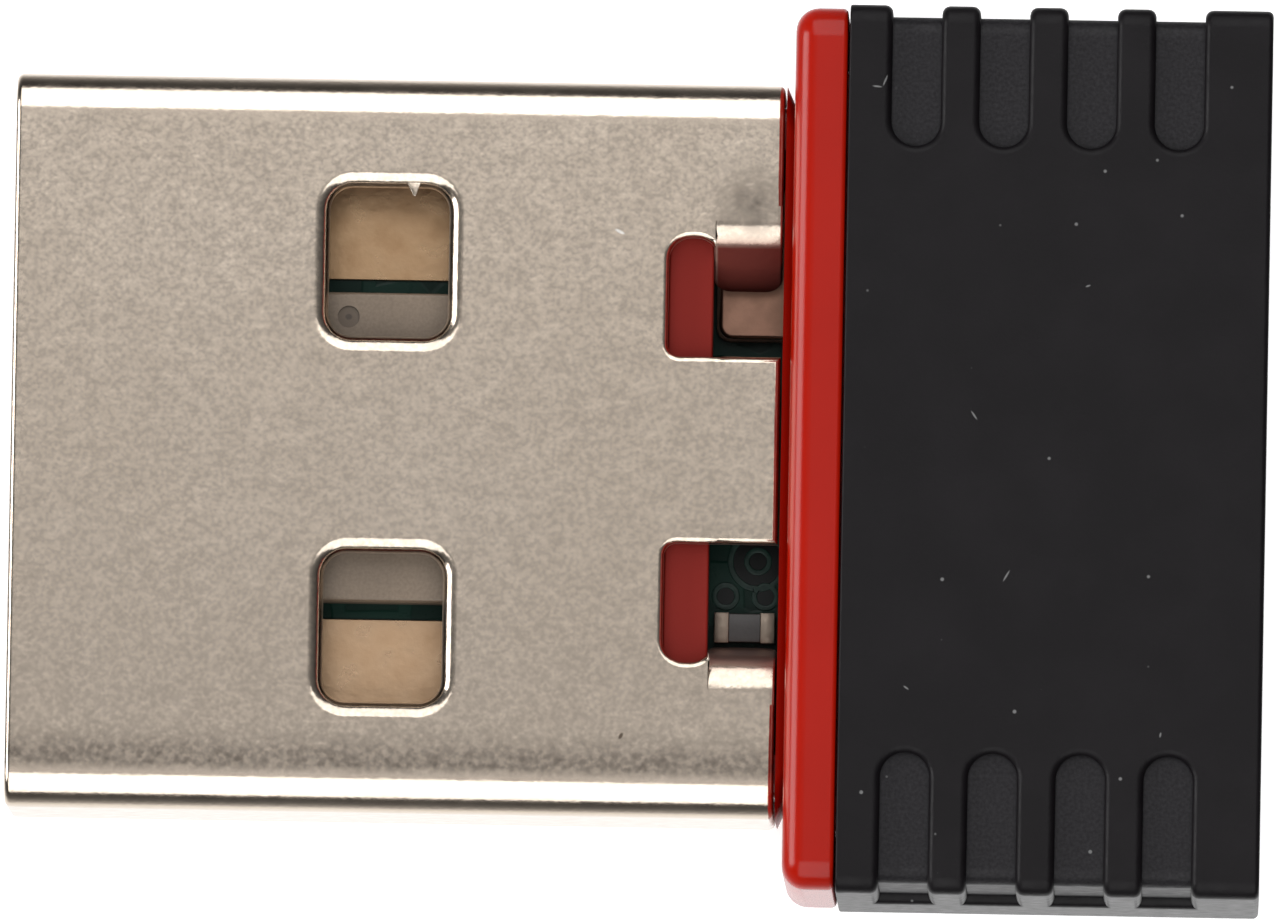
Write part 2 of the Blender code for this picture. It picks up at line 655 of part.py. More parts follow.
def surface_part(name, centre_x, centre_y, case, finish):
    """A small soldered part, lying along X on the board's top face."""
    length, width, height = case
    body = block(
        (centre_x - length / 2, centre_y - width / 2, SEAT),
        (centre_x + length / 2, centre_y + width / 2, SEAT + height),
    )
    new_object(name, body, finish)


def make_small_parts():
    for name, from_chip, centre_y in CHIP_CAPACITORS:
        surface_part(name, CHIP_START + from_chip, centre_y, CASE_0402, "ceramic")
    surface_part("bias_resistor", TAB_START + BIAS_RESISTOR_OFFSET, BIAS_RESISTOR_Y, CASE_0402, "dark_ceramic")
    for name, from_collar, centre_y, case, finish in CAP_PARTS:
        surface_part(name, COLLAR_END + from_collar, centre_y, case, finish)


make_plug_shell()
make_carrier()
make_cap()
make_circuit_board()
make_contacts()
make_ground_strips()
make_antenna()
make_chip()
make_crystal()
make_small_parts()
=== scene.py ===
import math

import bmesh
import bpy
from mathutils import Matrix, Vector


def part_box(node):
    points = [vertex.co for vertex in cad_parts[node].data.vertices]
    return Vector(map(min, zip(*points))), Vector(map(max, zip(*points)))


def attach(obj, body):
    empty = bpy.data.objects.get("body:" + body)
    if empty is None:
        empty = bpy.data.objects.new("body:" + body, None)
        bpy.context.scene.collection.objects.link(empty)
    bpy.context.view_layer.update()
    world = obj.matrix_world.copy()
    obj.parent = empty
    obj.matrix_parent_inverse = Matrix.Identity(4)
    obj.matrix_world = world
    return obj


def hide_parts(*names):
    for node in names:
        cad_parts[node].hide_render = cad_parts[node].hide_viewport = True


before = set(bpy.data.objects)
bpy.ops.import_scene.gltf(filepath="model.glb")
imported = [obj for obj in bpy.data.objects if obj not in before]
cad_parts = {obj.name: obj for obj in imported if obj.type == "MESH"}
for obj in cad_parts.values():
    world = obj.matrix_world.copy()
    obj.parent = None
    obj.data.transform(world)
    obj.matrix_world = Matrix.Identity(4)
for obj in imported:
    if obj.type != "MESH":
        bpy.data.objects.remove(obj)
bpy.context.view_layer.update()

# ---------------------------------------------------------------- folded plug shell
# The plug is one strip of nickel-plated steel, 0.3 mm thick, folded round into a flat sleeve whose
# two ends meet along the middle of the underside. Windows and notches are punched from outside, so
# their outer edges roll over, and two tabs are bent down behind the red carrier's rear bar.

mm = 0.001
near = 0.01 * mm
shell_low, shell_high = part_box("plug_shell")
axis_z = (shell_low.z + shell_high.z) / 2
sheet = 0.30 * mm
shell_fold = 0.60 * mm
fold_segments = 12
seam_gap = 0.05 * mm
window_front, window_rear = shell_low.x + 5.15 * mm, shell_low.x + 7.10 * mm
window_inner, window_outer = 1.77 * mm, 4.21 * mm
window_corner = 0.38 * mm
window_roll = 0.26 * mm
window_margin = 0.50 * mm
notch_front = shell_high.x - 1.85 * mm
notch_inner, notch_outer = 1.53 * mm, 3.47 * mm
notch_outer_corner, notch_inner_corner = 0.36 * mm, 0.20 * mm
rim_roll = 0.10 * mm
tab_front = shell_high.x - 1.05 * mm
tab_slit = 0.05 * mm
tab_fold = 0.60 * mm
tab_straight = 0.967 * mm
tab_edge, tab_corner = 0.04 * mm, 0.24 * mm
tab_overlap, tab_root, tab_inset = 0.02 * mm, 0.25 * mm, 0.004 * mm
tabs = ((1, 3.75 * mm, math.radians(45)), (-1, 3.90 * mm, math.radians(80)))


def block(name, low, high):
    """A cube laid between two corners, with its place and size in its mesh."""
    low, high = Vector(low), Vector(high)
    bpy.ops.object.select_all(action="DESELECT")
    bpy.ops.mesh.primitive_cube_add(size=1, location=(low + high) / 2, scale=high - low)
    piece = bpy.context.object
    piece.name = name
    bpy.ops.object.transform_apply(location=True, rotation=False, scale=True)
    return piece


def open_with(piece, kind, chosen):
    """Opens a piece in edit mode with only the chosen edges or faces selected."""
    bpy.ops.object.select_all(action="DESELECT")
    piece.select_set(True)
    bpy.context.view_layer.objects.active = piece
    bpy.ops.object.mode_set(mode="EDIT")
    bpy.ops.mesh.select_mode(type=kind)
    bpy.ops.mesh.select_all(action="DESELECT")
    mesh = bmesh.from_edit_mesh(piece.data)
    for part in mesh.edges if kind == "EDGE" else mesh.faces:
        if chosen(part):
            part.select_set(True)
    bmesh.update_edit_mesh(piece.data)


def close_edit():
    bpy.ops.object.mode_set(mode="OBJECT")


def round_edges(piece, width, segments, chosen):
    open_with(piece, "EDGE", chosen)
    bpy.ops.mesh.bevel(offset=width, segments=segments, profile=0.5, affect="EDGES", clamp_overlap=False)
    close_edit()


def apply_modifier(piece, kind, **settings):
    bpy.ops.object.select_all(action="DESELECT")
    piece.select_set(True)
    bpy.context.view_layer.objects.active = piece
    modifier = piece.modifiers.new(kind.lower(), kind)
    for name, value in settings.items():
        setattr(modifier, name, value)
    bpy.ops.object.modifier_apply(modifier=modifier.name)


def carve(piece, tool, operation="DIFFERENCE"):
    """Cuts the tool out of the piece, or joins it on, and throws the tool away."""
    apply_modifier(piece, "BOOLEAN", object=tool, operation=operation, solver="EXACT")
    bpy.data.objects.remove(tool)


def runs_along(edge, axis):
    direction = edge.verts[1].co - edge.verts[0].co
    return abs(direction[axis]) > 0.99 * direction.length


def is_sharp(edge):
    return edge.calc_face_angle(0) > math.radians(50)


def finish_surface(piece, *materials):
    """Smooth shading that keeps the flat faces flat, and the piece's materials."""
    bpy.ops.object.select_all(action="DESELECT")
    piece.select_set(True)
    bpy.context.view_layer.objects.active = piece
    bpy.ops.object.shade_smooth_by_angle(angle=math.radians(45))
    apply_modifier(piece, "WEIGHTED_NORMAL", keep_sharp=True, weight=100)
    piece.data.materials.clear()
    for material in materials:
        piece.data.materials.append(material)


shell = block("folded_plug_shell", shell_low, shell_high)
round_edges(shell, shell_fold, fold_segments, lambda edge: runs_along(edge, 0))
open_with(shell, "FACE", lambda face: abs(face.normal.x) > 0.9)
bpy.ops.mesh.delete(type="FACE")
close_edit()
apply_modifier(shell, "SOLIDIFY", thickness=sheet, offset=-1, use_even_offset=True)
seam = block("seam_cutter", (-1, -seam_gap / 2, -1), (1, seam_gap / 2, axis_z))
carve(shell, seam)
for side in (1, -1):
    window_y = sorted((side * window_inner, side * window_outer))
    window = block("window_cutter", (window_front, window_y[0], -1), (window_rear, window_y[1], 1))
    round_edges(window, window_corner, 8, lambda edge: runs_along(edge, 2))
    carve(shell, window)


def is_window_rim(edge):
    inside = all(
        window_front - near < corner.co.x < window_rear + near
        and window_inner - near < abs(corner.co.y) < window_outer + near
        and min(abs(corner.co.z - shell_high.z), abs(corner.co.z - shell_low.z)) < near
        for corner in edge.verts
    )
    return inside and is_sharp(edge)


round_edges(shell, window_roll, 7, is_window_rim)
past_end = shell_high.x + 1 * mm
lobe_rear = tab_front - tab_slit + 0.06 * mm
# A notch is a lobe with rounded corners, and a slot from it to the rear end for the tab.
for side, fold_line, angle in tabs:
    notch_y = sorted((side * notch_inner, side * notch_outer))
    notch = block("notch_cutter", (notch_front, notch_y[0], axis_z), (lobe_rear, notch_y[1], 1))
    round_edges(
        notch,
        notch_outer_corner,
        8,
        lambda edge: runs_along(edge, 2) and abs(edge.verts[0].co.y) > notch_outer - near,
    )
    round_edges(
        notch,
        notch_inner_corner,
        6,
        lambda edge: runs_along(edge, 2)
        and edge.verts[0].co.x < notch_front + near
        and abs(edge.verts[0].co.y) < notch_inner + near,
    )
    slot_y = sorted((side * notch_inner, side * fold_line))
    slot = block("tab_slot_cutter", (tab_front - tab_slit, slot_y[0], axis_z), (past_end, slot_y[1], 1))
    carve(notch, slot, "UNION")
    open_with(notch, "FACE", lambda face: True)
    bpy.ops.mesh.dissolve_limited(angle_limit=math.radians(1))
    close_edit()
    carve(shell, notch)


def is_on_outside(place):
    """True on the sleeve's outer surface, which is a box with rounded long edges."""
    across = abs(place.y) - (shell_high.y - shell_fold)
    up = abs(place.z - axis_z) - (shell_high.z - axis_z - shell_fold)
    reach = math.hypot(max(across, 0), max(up, 0)) + min(max(across, up), 0)
    return abs(reach - shell_fold) < near


def is_punched_rim(edge):
    """The outer edges of the mouth, the rear end, the seam and the notches, but not where a tab joins on."""
    places = [corner.co for corner in edge.verts]
    beside_tab = any(
        all(abs(place.y - side * fold_line) < near and place.z > axis_z for place in places)
        or all(
            abs(place.x - tab_front + tab_slit) < near and side * place.y > notch_inner + 1 * mm
            for place in places
        )
        for side, fold_line, angle in tabs
    )
    in_window = all(
        window_front - window_margin < place.x < window_rear + window_margin
        and abs(place.y) > window_inner - window_margin
        for place in places
    )
    on_outside = all(is_on_outside(place) for place in places)
    return is_sharp(edge) and on_outside and not beside_tab and not in_window


round_edges(shell, rim_roll, 4, is_punched_rim)
corner_steps = 5
# A tab starts in the sheet, is spun down round its fold, drawn out straight and narrowed at its tip.
for side, fold_line, angle in tabs:
    strip_y = sorted((side * fold_line, side * (fold_line + tab_root)))
    tab_low = (tab_front - tab_slit - tab_overlap, strip_y[0], shell_high.z - sheet + near)
    tab_high = (shell_high.x - tab_inset, strip_y[1], shell_high.z - tab_inset)
    tab = block("tab", tab_low, tab_high)
    round_edges(tab, tab_edge, 4, lambda edge: runs_along(edge, 1))
    open_with(tab, "FACE", lambda face: side * face.normal.y < -0.9)
    fold_centre = (0, side * fold_line, shell_high.z - tab_fold)
    bpy.ops.mesh.spin(steps=14, angle=-side * angle, center=fold_centre, axis=(1, 0, 0))
    along = Vector((0, -side * math.cos(angle), -math.sin(angle)))
    onward = along * (tab_straight - tab_corner)
    bpy.ops.mesh.extrude_region_move(TRANSFORM_OT_translate={"value": onward})
    tip_middle = ((tab_front - tab_slit + shell_high.x) / 2, 0, 0)
    half_width = (shell_high.x - tab_front) / 2
    for step in range(corner_steps):
        start, end = (math.radians(90) * (step + more) / corner_steps for more in (0, 1))
        onward = along * tab_corner * (math.sin(end) - math.sin(start))
        bpy.ops.mesh.extrude_region_move(TRANSFORM_OT_translate={"value": onward})
        before = half_width - tab_corner * (1 - math.cos(start))
        after = half_width - tab_corner * (1 - math.cos(end))
        bpy.ops.transform.resize(value=(after / before, 1, 1), center_override=tip_middle)
    close_edit()
    carve(shell, tab, "UNION")
# The punch left a small burr at the rim of the left window.
burr_place = Vector((window_front + 1.36 * mm, window_outer, shell_high.z - 0.10 * mm))
burr_inward, burr_outward = Vector((0.12, 0.14, 0.02)) * mm, Vector((0.12, 0.10, 0.02)) * mm
burr = block("burr", burr_place - burr_inward, burr_place + burr_outward)
open_with(burr, "FACE", lambda face: face.normal.y < -0.9)
bpy.ops.transform.resize(value=(0.15, 1, 0.6), center_override=burr_place)
bpy.ops.transform.translate(value=(0.02 * mm, 0, 0.05 * mm))
close_edit()
round_edges(burr, 0.006 * mm, 2, is_sharp)
carve(shell, burr, "UNION")


def new_material(name, colour, roughness, metallic=0.0, specular=0.5):
    """A Principled material, to which the sections add grain, stains, wear and painted shade."""
    material = bpy.data.materials.new(name)
    material.use_nodes = True
    shader = material.node_tree.nodes["Principled BSDF"]
    shader.inputs["Base Color"].default_value = (*colour, 1)
    shader.inputs["Roughness"].default_value = roughness
    shader.inputs["Metallic"].default_value = metallic
    shader.inputs["Specular IOR Level"].default_value = specular
    return material


def add_node(material, kind, inputs=None, **settings):
    """A shader node with its settings, and its inputs either set or linked."""
    tree = material.node_tree
    made = tree.nodes.new(kind)
    for name, value in settings.items():
        setattr(made, name, value)
    for name, value in (inputs or {}).items():
        if isinstance(value, bpy.types.NodeSocket):
            tree.links.new(value, made.inputs[name])
        else:
            made.inputs[name].default_value = value
    return made


def object_place(material):
    return add_node(material, "ShaderNodeTexCoord").outputs["Object"]


def grain(material, size, detail=2.0, distortion=0.0):
    """Even noise whose blots are about size metres across."""
    inputs = {"Vector": object_place(material), "Scale": 1 / size, "Detail": detail, "Distortion": distortion}
    return add_node(material, "ShaderNodeTexNoise", inputs).outputs["Fac"]


def ramp(material, factor, start, end, low, high):
    """Maps start..end of a factor to low..high, and holds it there outside."""
    inputs = {"Value": factor, "From Min": start, "From Max": end, "To Min": low, "To Max": high}
    return add_node(material, "ShaderNodeMapRange", inputs).outputs["Result"]


def maths(material, operation, first, second):
    return add_node(material, "ShaderNodeMath", {0: first, 1: second}, operation=operation).outputs["Value"]


def mix_colours(material, factor, first, second):
    made = add_node(material, "ShaderNodeMix", {"Factor": factor}, data_type="RGBA")
    for socket, value in ((made.inputs[6], first), (made.inputs[7], second)):
        if isinstance(value, bpy.types.NodeSocket):
            material.node_tree.links.new(value, socket)
        else:
            socket.default_value = (*value, 1)
    return made.outputs[2]


def feed(material, name, socket):
    shader = material.node_tree.nodes["Principled BSDF"]
    material.node_tree.links.new(socket, shader.inputs[name])


def relief(material, *layers):
    """Bumps laid over each other, each a height and the depth in metres that it stands for."""
    normal = None
    for height, depth in layers:
        inputs = {"Height": height, "Distance": depth, "Strength": 1.0}
        if normal:
            inputs["Normal"] = normal
        normal = add_node(material, "ShaderNodeBump", inputs).outputs["Normal"]
    feed(material, "Normal", normal)


def coordinate(material, axis):
    split = add_node(material, "ShaderNodeSeparateXYZ", {"Vector": object_place(material)})
    return split.outputs[axis]


def spot(material, place, turn, half_sizes):
    """1 inside a small ellipsoid and 0 outside it, for a scratch, a fibre or a speck."""
    inputs = {
        "Vector": object_place(material),
        "Location": place,
        "Rotation": (0, 0, turn),
        "Scale": half_sizes,
    }
    local = add_node(material, "ShaderNodeMapping", inputs, vector_type="TEXTURE").outputs["Vector"]
    length = add_node(material, "ShaderNodeVectorMath", {0: local}, operation="LENGTH").outputs["Value"]
    return ramp(material, length, 0.6, 1.0, 1, 0)


nickel = new_material("nickel_plate", (0.66, 0.56, 0.46), 0.18, metallic=1.0)
stain = grain(nickel, 4 * mm, detail=2)
plate = mix_colours(nickel, ramp(nickel, stain, 0.35, 0.65, 0, 1), (0.68, 0.575, 0.47), (0.71, 0.605, 0.50))
# Painted shade: the flat plate is painted darker towards the -Y fold, along a slope from +Y to -Y, and round
# the tab roots where the sheet is drawn in.
toward_fold = ramp(nickel, coordinate(nickel, "Y"), -4.0 * mm, -5.1 * mm, 0, 1)
from_middle = maths(nickel, "ABSOLUTE", coordinate(nickel, "Y"), 0.0)
flat_part = ramp(nickel, from_middle, 5.25 * mm, 5.42 * mm, 1, 0)
shade_grain = ramp(nickel, grain(nickel, 0.11 * mm, detail=3), 0.35, 0.65, 0.45, 1)
painted_shade = maths(nickel, "MULTIPLY", maths(nickel, "MULTIPLY", toward_fold, toward_fold), shade_grain)
painted_slope = ramp(nickel, coordinate(nickel, "Y"), 4.0 * mm, -4.0 * mm, 0, 0.22)
drawn = None
# The patches round the tab roots give the drawn dent its bump and also its painted shade.
for side, fold_line, angle in tabs:
    root_place = (shell_high.x - 0.50 * mm, side * (fold_line + 0.20 * mm), shell_high.z)
    inputs = {0: object_place(nickel), 1: root_place}
    away = add_node(nickel, "ShaderNodeVectorMath", inputs, operation="DISTANCE")
    patch = ramp(nickel, away.outputs["Value"], 0.10 * mm, 0.85 * mm, 1 if side > 0 else 0.2, 0)
    drawn = maths(nickel, "MAXIMUM", drawn, patch) if drawn else patch
shade_streaks = ramp(nickel, grain(nickel, 0.25 * mm, detail=2), 0.35, 0.65, 0.55, 1)
painted_shade = maths(nickel, "MAXIMUM", painted_shade, maths(nickel, "MULTIPLY", drawn, shade_streaks))
painted_shade = maths(nickel, "MULTIPLY", maths(nickel, "MAXIMUM", painted_shade, painted_slope), flat_part)
plate_and_painted_shade = mix_colours(nickel, painted_shade, plate, (0.215, 0.178, 0.148))
sand = ramp(nickel, grain(nickel, 0.085 * mm, detail=2), 0.36, 0.64, 0.0, 0.46)
sand = maths(nickel, "MULTIPLY", sand, ramp(nickel, flat_part, 0, 1, 0.15, 1))
plate_and_painted_shade = mix_colours(nickel, sand, plate_and_painted_shade, (0.36, 0.31, 0.26))
scratch_place, scratch_size = (-0.36 * mm, 3.54 * mm, shell_high.z), (0.10 * mm, 0.03 * mm, 0.1 * mm)
scratch = spot(nickel, scratch_place, math.radians(-25), scratch_size)
fleck_place, fleck_size = (-0.20 * mm, -4.70 * mm, shell_high.z), (0.07 * mm, 0.035 * mm, 0.1 * mm)
dark_fleck = spot(nickel, fleck_place, math.radians(60), fleck_size)
plate_and_painted_shade = mix_colours(nickel, scratch, plate_and_painted_shade, (0.97, 0.93, 0.88))
plate_and_painted_shade = mix_colours(nickel, dark_fleck, plate_and_painted_shade, (0.16, 0.12, 0.09))
depth_below = ramp(nickel, coordinate(nickel, "Z"), shell_high.z - 0.05 * mm, shell_high.z - 0.20 * mm, 0, 1)
torn = maths(nickel, "MULTIPLY", depth_below, ramp(nickel, from_middle, 5.0 * mm, 5.1 * mm, 1, 0))
torn = maths(nickel, "MULTIPLY", torn, ramp(nickel, coordinate(nickel, "Z"), axis_z, axis_z + 0.2 * mm, 0, 1))
# Painted reflection and shade: the bent tabs and the walls behind the notches are painted dark red-brown, for
# the red bar they reflect and the shade they sit in.
past_notch = ramp(nickel, coordinate(nickel, "X"), tab_front - 0.1 * mm, tab_front, 0, 1)
painted_tab_mask = maths(nickel, "MULTIPLY", torn, past_notch)
tab_side = ramp(nickel, coordinate(nickel, "Y"), -1 * mm, 1 * mm, 0, 1)
painted_tab_reflection = mix_colours(nickel, tab_side, (0.43, 0.285, 0.245), (0.17, 0.042, 0.034))
feed(nickel, "Base Color", mix_colours(nickel, painted_tab_mask, plate_and_painted_shade, painted_tab_reflection))
polish = ramp(nickel, grain(nickel, 0.30 * mm), 0.3, 0.7, 0.16, 0.22)
feed(nickel, "Roughness", maths(nickel, "MAXIMUM", polish, ramp(nickel, torn, 0, 1, 0, 0.46)))
stretched = maths(nickel, "MULTIPLY", maths(nickel, "MAXIMUM", toward_fold, drawn), flat_part)
orange_peel = maths(nickel, "MULTIPLY", grain(nickel, 0.16 * mm), stretched)
relief(nickel, (grain(nickel, 0.10 * mm, detail=1), 0.0024 * mm), (orange_peel, 0.0025 * mm))
finish_surface(shell, nickel)
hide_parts("plug_shell")
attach(shell, "root")

# ---------------------------------------------------------------- red carrier
# One glossy red ABS moulding holds everything: a collar that closes the cap's mouth, two rails and
# two cross bars that slide into the plug, and a skirt, shelves and pegs that reach into the cap.
# Each stretch is moulded with small radii, and the collar's front edge is well rounded.

carrier_low, carrier_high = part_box("carrier")
board_low, board_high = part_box("circuit_board")
fit, slot_fit, weld = 0.03 * mm, 0.05 * mm, 0.10 * mm
root_front, root_length, root_taper = shell_high.x + fit, 0.17 * mm, 0.09
collar_front = shell_high.x + root_length
collar_rear = collar_front + 0.85 * mm
collar_corner, collar_roll, collar_rear_roll = 0.50 * mm, 0.38 * mm, 0.08 * mm
moulded_edge = 0.05 * mm
carrier_top = shell_high.z - sheet - slot_fit
rail_outer = shell_high.y - sheet - slot_fit
rail_inner = rail_outer - 0.70 * mm
skirt_half_width, skirt_half_height, skirt_wall = 6.22 * mm, 2.47 * mm, 0.50 * mm
skirt_rear = collar_rear + 2.0 * mm
skirt_corner, skirt_rear_roll = 0.30 * mm, 0.10 * mm
snap_x, snap_length = collar_rear + 1.20 * mm, 0.40 * mm
snap_half_height, snap_depth = 1.20 * mm, 0.15 * mm
peg_x, peg_y = collar_rear + 2.85 * mm, 4.5 * mm
peg_radius, peg_head_radius, peg_head_height, peg_roll = 0.45 * mm, 0.70 * mm, 0.27 * mm, 0.12 * mm
shelf_half_width, shelf_thickness = 0.75 * mm, 0.80 * mm
front_bar_length, rear_bar_length, rear_bar_thickness = 0.60 * mm, 0.73 * mm, 0.70 * mm
bar_half_width = rail_outer - 0.25 * mm
bar_edge = 0.04 * mm


def moulded(name, low, high, radius=moulded_edge):
    """A block with all its edges rounded, to be joined to a moulding."""
    piece = block(name, low, high)
    round_edges(piece, radius, 3, lambda edge: True)
    return piece


def bar_with_round_sides(name, low, high, radius):
    """A block along X with its four long edges rounded."""
    piece = block(name, low, high)
    round_edges(piece, radius, 8, lambda edge: runs_along(edge, 0))
    return piece


def round_end(piece, x, radius, segments):
    """Rounds the outline of a bar's end at that x."""
    round_edges(
        piece,
        radius,
        segments,
        lambda edge: all(abs(corner.co.x - x) < near for corner in edge.verts) and is_sharp(edge),
    )


carrier = bar_with_round_sides(
    "red_carrier",
    (collar_front, carrier_low.y, carrier_low.z),
    (collar_rear, carrier_high.y, carrier_high.z),
    collar_corner,
)
round_end(carrier, collar_front, collar_roll, 8)
round_end(carrier, collar_rear, collar_rear_roll, 3)
root = bar_with_round_sides(
    "root",
    (root_front, shell_low.y, shell_low.z),
    (collar_front + weld, shell_high.y, shell_high.z),
    shell_fold,
)
open_with(root, "FACE", lambda face: face.normal.x > 0.9)
bpy.ops.transform.resize(value=(1, 1 - root_taper, 1 - root_taper), center_override=(0, 0, axis_z))
close_edit()
carve(carrier, root, "UNION")
skirt = bar_with_round_sides(
    "skirt",
    (collar_rear - weld, -skirt_half_width, axis_z - skirt_half_height),
    (skirt_rear, skirt_half_width, axis_z + skirt_half_height),
    skirt_corner,
)
round_end(skirt, skirt_rear, skirt_rear_roll, 3)
carve(carrier, skirt, "UNION")
inner_half_width, inner_half_height = skirt_half_width - skirt_wall, skirt_half_height - skirt_wall
hollow_low = (collar_rear, -inner_half_width, axis_z - inner_half_height)
carve(carrier, block("hollow_cutter", hollow_low, (1, inner_half_width, axis_z + inner_half_height)))
slot_low = (root_front - 1 * mm, board_low.y - slot_fit, board_low.z - slot_fit)
slot_high = (collar_rear + 1 * mm, board_high.y + slot_fit, carrier_top - weld)
carve(carrier, block("board_slot_cutter", slot_low, slot_high))
for side in (1, -1):
    rail_y = sorted((side * rail_inner, side * rail_outer))
    rail = block(
        "rail",
        (carrier_low.x, rail_y[0], board_high.z + fit),
        (collar_rear - weld, rail_y[1], carrier_top),
    )
    round_edges(
        rail,
        shell_fold - sheet - slot_fit,
        6,
        lambda edge: runs_along(edge, 0) and edge.verts[0].co.z > carrier_top - near
        and abs(edge.verts[0].co.y) > rail_outer - near,
    )
    round_end(rail, carrier_low.x, moulded_edge, 3)
    carve(carrier, rail, "UNION")
    snap_y = sorted((side * (skirt_half_width - weld), side * (skirt_half_width + snap_depth)))
    snap = moulded(
        "snap",
        (snap_x, snap_y[0], axis_z - snap_half_height),
        (snap_x + snap_length, snap_y[1], axis_z + snap_half_height),
    )
    carve(carrier, snap, "UNION")
    shelf_top = board_low.z - slot_fit
    shelf = moulded(
        "shelf",
        (collar_rear - weld, side * peg_y - shelf_half_width, shelf_top - shelf_thickness),
        (carrier_high.x, side * peg_y + shelf_half_width, shelf_top),
    )
    carve(carrier, shelf, "UNION")
    peg_seat = board_high.z + fit
    for radius, foot, head in (
        (peg_radius, shelf_top - shelf_thickness / 2, peg_seat + weld),
        (peg_head_radius, peg_seat, peg_seat + peg_head_height),
    ):
        bpy.ops.object.select_all(action="DESELECT")
        peg_place = (peg_x, side * peg_y, (foot + head) / 2)
        bpy.ops.mesh.primitive_cylinder_add(
            vertices=40,
            radius=radius,
            depth=head - foot,
            location=peg_place,
        )
        peg = bpy.context.object
        bpy.ops.object.transform_apply(location=True, rotation=False, scale=False)
        round_edges(
            peg,
            peg_roll,
            4,
            lambda edge: is_sharp(edge) and edge.verts[0].co.z > peg_seat + peg_head_height / 2 + near,
        )
        carve(carrier, peg, "UNION")
for bar_front, bar_rear, bar_foot in (
    (carrier_low.x, carrier_low.x + front_bar_length, board_low.z),
    (notch_front, notch_front + rear_bar_length, carrier_top - rear_bar_thickness),
):
    bar_low, bar_high = (bar_front, -bar_half_width, bar_foot), (bar_rear, bar_half_width, carrier_top)
    bar = moulded("cross_bar", bar_low, bar_high, bar_edge)
    carve(carrier, bar, "UNION")

red_plastic = new_material("red_plastic", (0.30, 0.006, 0.001), 0.2, specular=0.25)
# Painted shade: inside the plug the red plastic is painted darker, for the shade under the shell, and it is
# also made rougher there.
inside_plug = ramp(red_plastic, coordinate(red_plastic, "X"), shell_high.x - 0.3 * mm, shell_high.x, 1, 0)
cloud = grain(red_plastic, 1.5 * mm)
gloss = mix_colours(red_plastic, cloud, (0.275, 0.005, 0.0005), (0.32, 0.0065, 0.001))
feed(red_plastic, "Base Color", mix_colours(red_plastic, inside_plug, gloss, (0.17, 0.013, 0.009)))
feed(red_plastic, "Specular IOR Level", ramp(red_plastic, inside_plug, 0, 1, 0.25, 0.10))
feed(red_plastic, "Roughness", ramp(red_plastic, inside_plug, 0, 1, 0.22, 0.50))
mould_marks = maths(red_plastic, "MULTIPLY", grain(red_plastic, 0.05 * mm), inside_plug)
relief(red_plastic, (grain(red_plastic, 0.6 * mm), 0.002 * mm), (mould_marks, 0.003 * mm))
finish_surface(carrier, red_plastic)
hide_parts("carrier")
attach(carrier, "root")

# ---------------------------------------------------------------- circuit board
# A 0.6 mm green board slides into the carrier from the cap's end. Its plated holes have copper
# rings under the green lacquer, which lifts a little over them.

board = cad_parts["circuit_board"]
board_green = new_material("green_lacquer", (0.006, 0.016, 0.010), 0.32, specular=0.12)
tracks = add_node(
    board_green,
    "ShaderNodeTexVoronoi",
    {"Vector": object_place(board_green), "Scale": 1 / (0.9 * mm), "Randomness": 0.7},
    feature="DISTANCE_TO_EDGE",
    distance="EUCLIDEAN",
)
track_edge = ramp(board_green, tracks.outputs["Distance"], 0.10, 0.14, 1, 0)
green = mix_colours(board_green, track_edge, (0.004, 0.020, 0.014), (0.006, 0.030, 0.021))
feed(board_green, "Base Color", green)
feed(board_green, "Roughness", ramp(board_green, grain(board_green, 0.2 * mm), 0.3, 0.7, 0.26, 0.40))
relief(board_green, (track_edge, 0.006 * mm), (grain(board_green, 0.04 * mm), 0.001 * mm))
board.material_slots[0].material = board_green
via_radius = 0.14 * mm
via_places = (
    (tab_front + 0.20 * mm, -2.30 * mm, 0.23 * mm),
    (tab_front + 0.85 * mm, -2.30 * mm, 0.23 * mm),
    (tab_front + 0.72 * mm, -1.72 * mm, 0.23 * mm),
)
ring_height, ring_floor, ring_roll = 0.025 * mm, 0.006 * mm, 0.012 * mm
test_pad_inner, test_pad_outer = 0.40 * mm, 0.50 * mm


def ring(name, x, y, inner, outer):
    """A flat ring on the board's top face, closed at its foot by a thin floor that is painted near-black as
    the hole's shade.
    """
    bpy.ops.object.select_all(action="DESELECT")
    bpy.ops.mesh.primitive_cylinder_add(vertices=48, radius=outer, depth=ring_height, end_fill_type="NGON")
    piece = bpy.context.object
    piece.name = name
    piece.location = (x, y, board_high.z + ring_height / 2)
    bpy.ops.object.transform_apply(location=True, rotation=False, scale=False)
    open_with(piece, "FACE", lambda face: face.normal.z > 0.9)
    bpy.ops.mesh.inset(thickness=outer - inner, use_even_offset=True)
    bpy.ops.mesh.extrude_region_move(TRANSFORM_OT_translate={"value": (0, 0, ring_floor - ring_height)})
    close_edit()
    return piece


rings = ring("plated_hole_rings", via_places[2][0], via_places[2][1], test_pad_inner, test_pad_outer)
for x, y, outer in via_places:
    carve(rings, ring("via_ring", x, y, via_radius, outer), "UNION")
round_edges(
    rings,
    ring_roll,
    3,
    lambda edge: is_sharp(edge)
    and edge.is_convex
    and all(corner.co.z > board_high.z + ring_height - near for corner in edge.verts),
)
ring_green = new_material("lacquer_over_copper", (0.015, 0.042, 0.032), 0.30, specular=0.2)
thin_lacquer = ramp(ring_green, grain(ring_green, 0.08 * mm), 0.3, 0.7, 0, 1)
lacquer = mix_colours(ring_green, thin_lacquer, (0.010, 0.028, 0.022), (0.018, 0.044, 0.034))
above_board = coordinate(ring_green, "Z")
